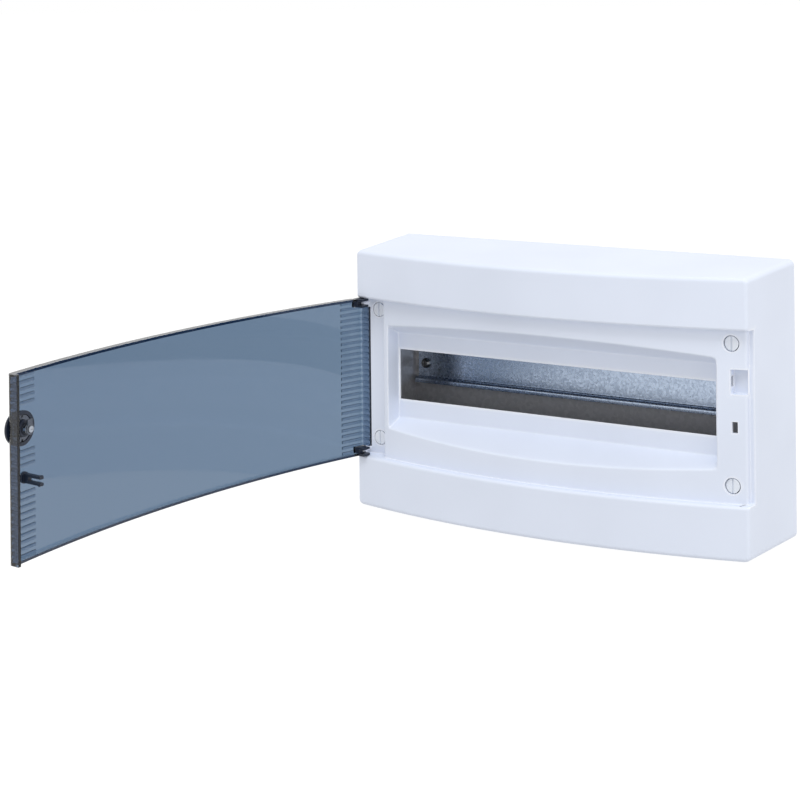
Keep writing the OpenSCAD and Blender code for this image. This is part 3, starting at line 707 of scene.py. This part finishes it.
def open_cover(shell):
    """Cuts the notch, the slots and the screw holes, and rounds their edges."""
    fork_slot = box_about(FORK_X, FORK_Z, FORK_SLOT_HALF_W, FORK_SLOT_HALF_H, OUTSIDE_Y, -70.0)
    plate_slot = box_mesh((-PLATE_HALF_W, -28.0, -121.0), (PLATE_HALF_W, 1.0, -114.0))
    wide = [notch_box(-73.2), fork_slot, plate_slot]
    narrow = [cam_slot()]
    zones = []
    for z in SCREW_Z:
        for x, seat in ((-SCREW_X, SEAT_LEFT), (SCREW_X, SEAT_RIGHT)):
            wide.append(rod(x, z, OUTSIDE_Y, seat, COUNTERBORE_R))
            narrow.append(rod(x, z, OUTSIDE_Y, -60.0, SHANK_R))
        zones.append(((-SCREW_X - 8, -78, z - 8), (-SCREW_X + 8, -74.5, z + 8)))
        zones.append(((SCREW_X - 8, -88, z - 8), (SCREW_X + 8, -81.2, z + 8)))
    cut(shell, wide, "MANIFOLD")
    cut(shell, narrow, "MANIFOLD")
    zones.append(((180, OUTSIDE_Y, 18), (195.5, -73, 42)))
    zones.append(((181, OUTSIDE_Y, -14), (188, -82.2, -2)))
    round_holes(shell, zones)


def screw_boss(x, z, top, seat):
    """Tube behind a screw hole; it lines the counterbore where its top stands proud of the seat."""
    foot = seat + BOSS_DEPTH
    if top < seat:
        section = [(SHANK_R, seat), (TUBE_R, seat), (TUBE_R, top)]
    else:
        section = [(SHANK_R, top)]
    section += [(BOSS_R, top), (BOSS_R, foot), (SHANK_R, foot)]
    return lathe(section, centre=(x, 0, z))


def notch_back():
    """Walls and floor behind the notch."""
    outline = [(178.5, -71.5)] + [(x, floor_y(x) + 1.2) for x in (178.5, 184, 190)]
    outline += [(194.95, -78.5), (194.95, -75.4), (197.6, -75.4), (197.6, -71.5)]
    backing = join_parts("notch_back", [prism(outline, LOCK_Z - 13, LOCK_Z + 13)])
    cut(backing, [notch_box(NOTCH_FLOOR, 0.03)])
    cut(backing, [cam_slot()])
    return backing


def hinge_lug(low):
    """Round-nosed lug with the bore that holds a hinge pin."""
    turn = [math.pi * k / 16 for k in range(17)]
    outline = [(HINGE.x + LUG_R * math.cos(t), HINGE.y - LUG_R * math.sin(t)) for t in turn]
    outline += [(HINGE.x - LUG_R, LUG_FOOT), (HINGE.x + LUG_R, LUG_FOOT)]
    lug = join_parts("lug", [prism(outline, low, low + LUG_H)])
    bore = [(PIN_HOLE_R, low - 1), (PIN_HOLE_R, low + 6)]
    cut(lug, [lathe(bore, 32, "Z", (HINGE.x, HINGE.y, 0), closed=False)])
    soften(lug, 0.3, 2, 60)
    return lug


def front_cover():
    shell = cover_shell()
    open_cover(shell)
    backing = notch_back()
    bosses = []
    for z in SCREW_Z:
        bosses.append(screw_boss(-SCREW_X, z, BOSS_TOP_LEFT, SEAT_LEFT))
        bosses.append(screw_boss(SCREW_X, z, BOSS_TOP_RIGHT, SEAT_RIGHT))
    parts = [shell, backing, join_parts("bosses", bosses)] + [hinge_lug(low) for low in LUG_LOWS]
    cover = merged("front_cover_moulding", parts, WHITE)
    tidy_normals(cover, 30)
    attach(cover, "cover")
    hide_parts("front_cover")


# ---------------------------------------------------------------- door
DOOR_CORNER = 4.6
DOOR_INNER_X = DOOR_HALF_W - DOOR_SIDE
LOCK_HOLE_R = 6.55
RIB_W, RIB_RISE, RIB_PITCH = 2.8, 0.75, 5.3
COLLAR_R, COLLAR_BORE, COLLAR_TOP = 13.4, 10.5, 5.4
TURNED_OPEN = Matrix.Rotation(-DOOR_ANGLE, 4, "Z")
OPEN = Matrix.Translation(HINGE * MM) @ TURNED_OPEN @ Matrix.Translation(-HINGE * MM)
TILTED = Matrix.Rotation(math.asin(LOCK_X / BOW_R), 4, "Z")
BOW_CENTRE, TO_FACE = Vector((0, BOW_Y, LOCK_Z)) * MM, Vector((0, -BOW_R, 0)) * MM
LOCK = Matrix.Translation(BOW_CENTRE) @ TILTED @ Matrix.Translation(TO_FACE)


def bow_line(inset, half, steps=96):
    """Points along the bow from -half to half."""
    xs = [-half + 2 * half * k / steps for k in range(steps + 1)]
    return [(x, bow(x, inset)) for x in xs]


def bar(path, half, rise):
    """Low rounded bar whose foot follows path; each path item is (foot, up) as 3D points."""
    verts, faces = [], []
    n = 9
    for foot, up in path:
        foot, up = Vector(foot), Vector(up)
        verts.append(tuple(foot - up * 0.3 - Vector((0, 0, half))))
        for k in range(n - 2):
            t = math.pi * k / (n - 3)
            verts.append(tuple(foot + up * rise * math.sin(t) - Vector((0, 0, half * math.cos(t)))))
        verts.append(tuple(foot - up * 0.3 + Vector((0, 0, half))))
    for k in range(len(path) - 1):
        a = n * k
        faces += [(a + i, a + (i + 1) % n, a + n + (i + 1) % n, a + n + i) for i in range(n)]
    last = n * (len(path) - 1)
    faces += [tuple(range(n)), tuple(range(last + n - 1, last - 1, -1))]
    return verts, faces


def rib(x0, x1, z, steps=5):
    """Bar on the inner face of the door."""
    xs = [x0 + (x1 - x0) * k / steps for k in range(steps + 1)]
    return bar([((x, bow(x, DOOR_IN), z), (0, 1, 0)) for x in xs], RIB_W / 2, RIB_RISE)


def flange_rib(side, z, end):
    """Bar on the inner face of the flange at one end of the door."""
    x = side * DOOR_INNER_X
    return bar([((x, y, z), (-side, 0, 0)) for y in (-87.5, end)], RIB_W / 2, RIB_RISE * 0.8)


def door_outline():
    """Plan of the door: bowed face, rounded upright corners and the flange ends."""
    arc = corner(DOOR_HALF_W, DOOR_OUT, DOOR_CORNER, 10)
    end = arc[-1][0]
    face = bow_line(DOOR_OUT, end, 90)
    left = [(-x, y) for x, y in arc]
    return [(-DOOR_HALF_W, FLANGE_Y)] + left[:-1] + face + arc[::-1][1:] + [(DOOR_HALF_W, FLANGE_Y)]


def door_tray():
    """The closed door: bowed panel with flanges at its ends and low edges at top and bottom."""
    ob = join_parts("door_shell", [prism(door_outline(), DOOR_LOW, DOOR_HIGH)])
    back = [(DOOR_INNER_X, -60.0), (-DOOR_INNER_X, -60.0)]
    cut(ob, [prism(bow_line(7.2, DOOR_INNER_X) + back, -90.0, 90.0)])
    cut(ob, [prism(bow_line(DOOR_IN, DOOR_INNER_X) + back, DOOR_LOW + DOOR_EDGE, DOOR_HIGH - DOOR_EDGE)])
    return ob


def lock_collar():
    """Ring behind the panel round the lock, trimmed to the flange and to the panel's inner face."""
    section = [(COLLAR_BORE, 2.0), (COLLAR_R, 2.0), (COLLAR_R, COLLAR_TOP), (COLLAR_BORE, COLLAR_TOP)]
    collar = join_parts("collar", [moved(lathe(section, 72), LOCK)])
    cut(collar, [box_mesh((DOOR_INNER_X + 0.05, -120, 0), (230, -40, 60))])
    panel = bow_line(DOOR_OUT - 5.0, 230.0) + bow_line(DOOR_IN + 0.02, 230.0)[::-1]
    cut(collar, [prism(panel, 0.0, 60.0)])
    return collar


def add_ribs(ob):
    """Grip ribs at both ends of the panel and on its flanges, clear of the lock and the fork."""
    middle = (DOOR_LOW + DOOR_HIGH) / 2
    ribs, flange_ribs = [], []
    for k in range(-13, 14):
        z = middle + k * RIB_PITCH
        ribs.append(rib(-DOOR_INNER_X - 0.6, -173.0, z))
        if abs(z - middle) < 64:
            flange_ribs += [flange_rib(side, z, FLANGE_Y - 0.5) for side in (-1, 1)]
        if abs(z - LOCK_Z) > 14.5 and abs(z - FORK_Z) > 7:
            ribs.append(rib(171.5, DOOR_INNER_X + 0.6, z))
    union(ob, ribs)
    union(ob, flange_ribs)


def hang(piece, angle):
    """Turns a piece of the closed door to its open rest place and hands it over."""
    piece.data.transform(OPEN)
    tidy_normals(piece, angle)
    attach(piece, "door")
    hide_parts("door_panel")


def door():
    ob = door_tray()
    collar = lock_collar()
    add_ribs(ob)
    clip_gaps = [
        box_mesh((-200, -110, 65.4), (-187.2, -60, 75)),
        box_mesh((-200, -110, -73), (-187.2, -60, -63.4)),
    ]
    lock_hole = moved(lathe([(LOCK_HOLE_R, -8.0), (LOCK_HOLE_R, 8.0)], closed=False), LOCK)
    cut(ob, clip_gaps + [lock_hole])
    round_holes(ob, [((-205, -130, -80), (205, -60, 80))], 60)
    panel = merged("door_moulding", [ob], SMOKE)
    panel.visible_shadow = False
    panel.visible_diffuse = False
    hang(panel, 25)
    soften(collar, 0.4, 3, 40)
    hang(merged("lock_surround", [collar], DARK), 30)


# ---------------------------------------------------------------- rail
def fillet_path(points, radii, steps=7):
    """Polyline with its inner corners rounded."""
    out = [Vector(points[0])]
    for a, b, c, r in zip(points, points[1:], points[2:], radii):
        a, b, c = Vector(a), Vector(b), Vector(c)
        u, v = (a - b).normalized(), (c - b).normalized()
        cut_back = r / math.tan(u.angle(v) / 2)
        centre = b + (u + v).normalized() * (r / math.sin(u.angle(v) / 2))
        p, q = b + u * cut_back - centre, b + v * cut_back - centre
        turn = p.angle_signed(q)
        for k in range(steps + 1):
            out.append(centre + Matrix.Rotation(-turn * k / steps, 2) @ p)
    out.append(Vector(points[-1]))
    return out


def sheet_outline(path, t):
    """Closed outline of a sheet of thickness t along a path."""
    left, right = [], []
    for i, p in enumerate(path):
        a = path[max(i - 1, 0)]
        b = path[min(i + 1, len(path) - 1)]
        d = (b - a).normalized()
        n = Vector((-d.y, d.x)) * t / 2
        left.append(p + n)
        right.append(p - n)
    return left + right[::-1]


def rail():
    """35 mm top-hat rail, 1 mm thick."""
    front, back = -26.5, -20.0
    hat = ((front, 17.5), (front, 13), (back, 13), (back, -13), (front, -13), (front, -17.5))
    path = [(y, RAIL_Z + z) for y, z in hat]
    outline = sheet_outline(fillet_path(path, (2.4, 1.4, 1.4, 2.4)), 1.0)
    verts = [(side * RAIL_HALF_W, p.x, p.y) for side in (-1, 1) for p in outline]
    ob = join_parts("rail_section", [(verts, prism_faces(len(outline)))])
    cut(ob, [rod(x, RAIL_Z, -30.0, -15.0, RAIL_HOLE_R, 32) for x in (-RAIL_HOLE_X, RAIL_HOLE_X)])
    rail_piece = merged("din_rail_section", [ob], ZINC)
    soften(rail_piece, 0.15, 2, 50)
    tidy_normals(rail_piece, 30)
    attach(rail_piece, "base")
    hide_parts("din_rail")


# ---------------------------------------------------------------- CAD nodes shown as they are
def dress(node, mat, width):
    """Finish for a CAD node that stays in view: small edge rounding and a material."""
    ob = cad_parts[node]
    ob.data.materials.clear()
    ob.data.materials.append(mat)
    weld = ob.modifiers.new("weld", "WELD")
    weld.merge_threshold = 0.000002
    flat = ob.modifiers.new("flat", "DECIMATE")
    flat.decimate_type = "DISSOLVE"
    flat.angle_limit = math.radians(0.4)
    soften(ob, width, 2, 35)
    w = ob.modifiers.new("normals", "WEIGHTED_NORMAL")
    w.keep_sharp = False
    w.weight = 90


# node, material and edge width in mm
FINISH = (
    ("base_tray", BASE, 0.5), ("rear_entry_plate", PLATE, 0.25), ("bottom_entry_plate", PLATE, 0.25),
    ("rail_chassis", DULL, 0.4), ("chassis_screws", SCREW, 0.12), ("rail_screws", DARK_SCREW, 0.15),
    ("neutral_bar", BRASS, 0.25), ("neutral_bar_screws", SCREW, 0.15), ("neutral_bar_holder", BLUE, 0.4),
    ("earth_bar", BRASS, 0.25), ("earth_bar_screws", SCREW, 0.15), ("earth_bar_holder", GREEN, 0.4),
    ("screw_retainers", DARK, 0.2), ("cover_screw_top_left", WHITE_SCREW, 0.25),
    ("cover_screw_top_right", WHITE_SCREW, 0.25), ("cover_screw_bottom_left", WHITE_SCREW, 0.25),
    ("cover_screw_bottom_right", WHITE_SCREW, 0.25), ("hinge_clip_top", DARK, 0.35),
    ("hinge_clip_bottom", DARK, 0.35), ("hinge_pin_top", STEEL, 0.2), ("hinge_pin_bottom", STEEL, 0.2),
    ("latch_fork", DARK, 0.3), ("lock_bezel", DARK, 0.4), ("lock_nut", CAM_STEEL_PAINTED_DARK, 0.3),
    ("lock_barrel", CHROME, 0.25), ("lock_cam", CAM_STEEL_PAINTED_DARK, 0.15), ("lock_cam_screw", SCREW, 0.1),
)


# ---------------------------------------------------------------- studio
FLOOR_R, FLOOR_GAP = 30000.0, 0.6


def shift_at_standpoint(cam, standpoint, path, shift):
    """Lens shift that holds while the camera stands at the standpoint, and is 0 from anywhere else."""
    curve = cam.data.driver_add(path)
    while curve.modifiers:
        curve.modifiers.remove(curve.modifiers[0])
    driver = curve.driver
    driver.type = "SUM"
    away = driver.variables.new()
    away.type = "LOC_DIFF"
    away.targets[0].id, away.targets[1].id = cam, standpoint
    curve.keyframe_points.insert(0.0, shift)
    curve.keyframe_points.insert(0.05, 0.0)
    for key in curve.keyframe_points:
        key.interpolation = "LINEAR"
    curve.extrapolation = "CONSTANT"


def aim_camera():
    """Level camera with a shifted lens."""
    cam = add_object("camera", bpy.data.cameras.new("camera"))
    bpy.context.scene.camera = cam
    cam.data.sensor_width = 36.0
    cam.data.lens = 84.48
    cam.location = (0.848, -1.5049, 0.3682)
    cam.rotation_mode = "XYZ"
    cam.rotation_euler = (math.radians(90.0), math.radians(0.6), math.radians(28.48))
    standpoint = add_object("standpoint", None)
    standpoint.location = cam.location
    shift_at_standpoint(cam, standpoint, "shift_x", -0.2706)
    shift_at_standpoint(cam, standpoint, "shift_y", -0.5275)


def area(name, loc, target, size, power, colour):
    """Rectangular light aimed at target, unseen in reflections."""
    light = bpy.data.lights.new(name, "AREA")
    light.shape = "RECTANGLE"
    light.size, light.size_y = size
    light.energy = power
    light.color = colour
    ob = add_object(name, light)
    ob.location = loc
    ob.rotation_mode = "QUATERNION"
    ob.rotation_quaternion = (Vector(target) - Vector(loc)).to_track_quat("-Z", "Y")
    ob.visible_glossy = False


def floor():
    """Plain pale floor, bright enough to read as paper white, with a faint contact shadow."""
    m = bpy.data.materials.new("pale_floor")
    m.use_nodes = True
    t = m.node_tree
    bsdf = t.nodes["Principled BSDF"]
    path = t.nodes.new("ShaderNodeLightPath")
    glow = t.nodes.new("ShaderNodeMapRange")
    t.links.new(path.outputs["Is Diffuse Ray"], glow.inputs["Value"])
    glow.inputs["To Min"].default_value = 0.93
    glow.inputs["To Max"].default_value = 0.55
    bsdf.inputs["Base Color"].default_value = (0.14, 0.14, 0.14, 1)
    bsdf.inputs["Roughness"].default_value = 0.9
    bsdf.inputs["Specular IOR Level"].default_value = 0.0
    bsdf.inputs["Emission Color"].default_value = (1, 1, 1, 1)
    t.links.new(glow.outputs[0], bsdf.inputs["Emission Strength"])
    z = -(HALF_H + BOTTOM_DRAFT + FLOOR_GAP)
    turn = [2 * math.pi * k / 96 for k in range(96)]
    rim = [(FLOOR_R * math.cos(t), FLOOR_R * math.sin(t), z) for t in turn]
    ob = new_object("floor", rim, [tuple(range(len(rim)))])
    ob.data.materials.append(m)


def studio():
    """White surround with a broad key from above, a weak fill and a side light."""
    world = bpy.data.worlds.new("studio")
    bpy.context.scene.world = world
    world.use_nodes = True
    t = world.node_tree
    bg = t.nodes["Background"]
    bg.inputs[0].default_value = (1.0, 1.0, 1.0, 1)
    path = t.nodes.new("ShaderNodeLightPath")
    level = t.nodes.new("ShaderNodeMapRange")
    t.links.new(path.outputs["Is Diffuse Ray"], level.inputs["Value"])
    level.inputs["To Min"].default_value = 1.0
    level.inputs["To Max"].default_value = 0.79
    t.links.new(level.outputs[0], bg.inputs[1])
    area("key", (0.4, -1.4, 2.8), (0, -0.1, 0), (2.0, 1.2), 38, (0.97, 0.985, 1.0))
    area("fill", (0.5, -2.8, 0.3), (0, -0.1, 0), (2.4, 1.6), 2, (0.95, 0.975, 1.0))
    area("side", (2.6, -0.6, 0.6), (0.2, 0, 0), (1.6, 1.6), 13, (1.0, 0.995, 0.98))
    bpy.context.scene.view_settings.view_transform = "Standard"


front_cover()
door()
rail()
for node, mat, width in FINISH:
    dress(node, mat, width)
aim_camera()
floor()
studio()
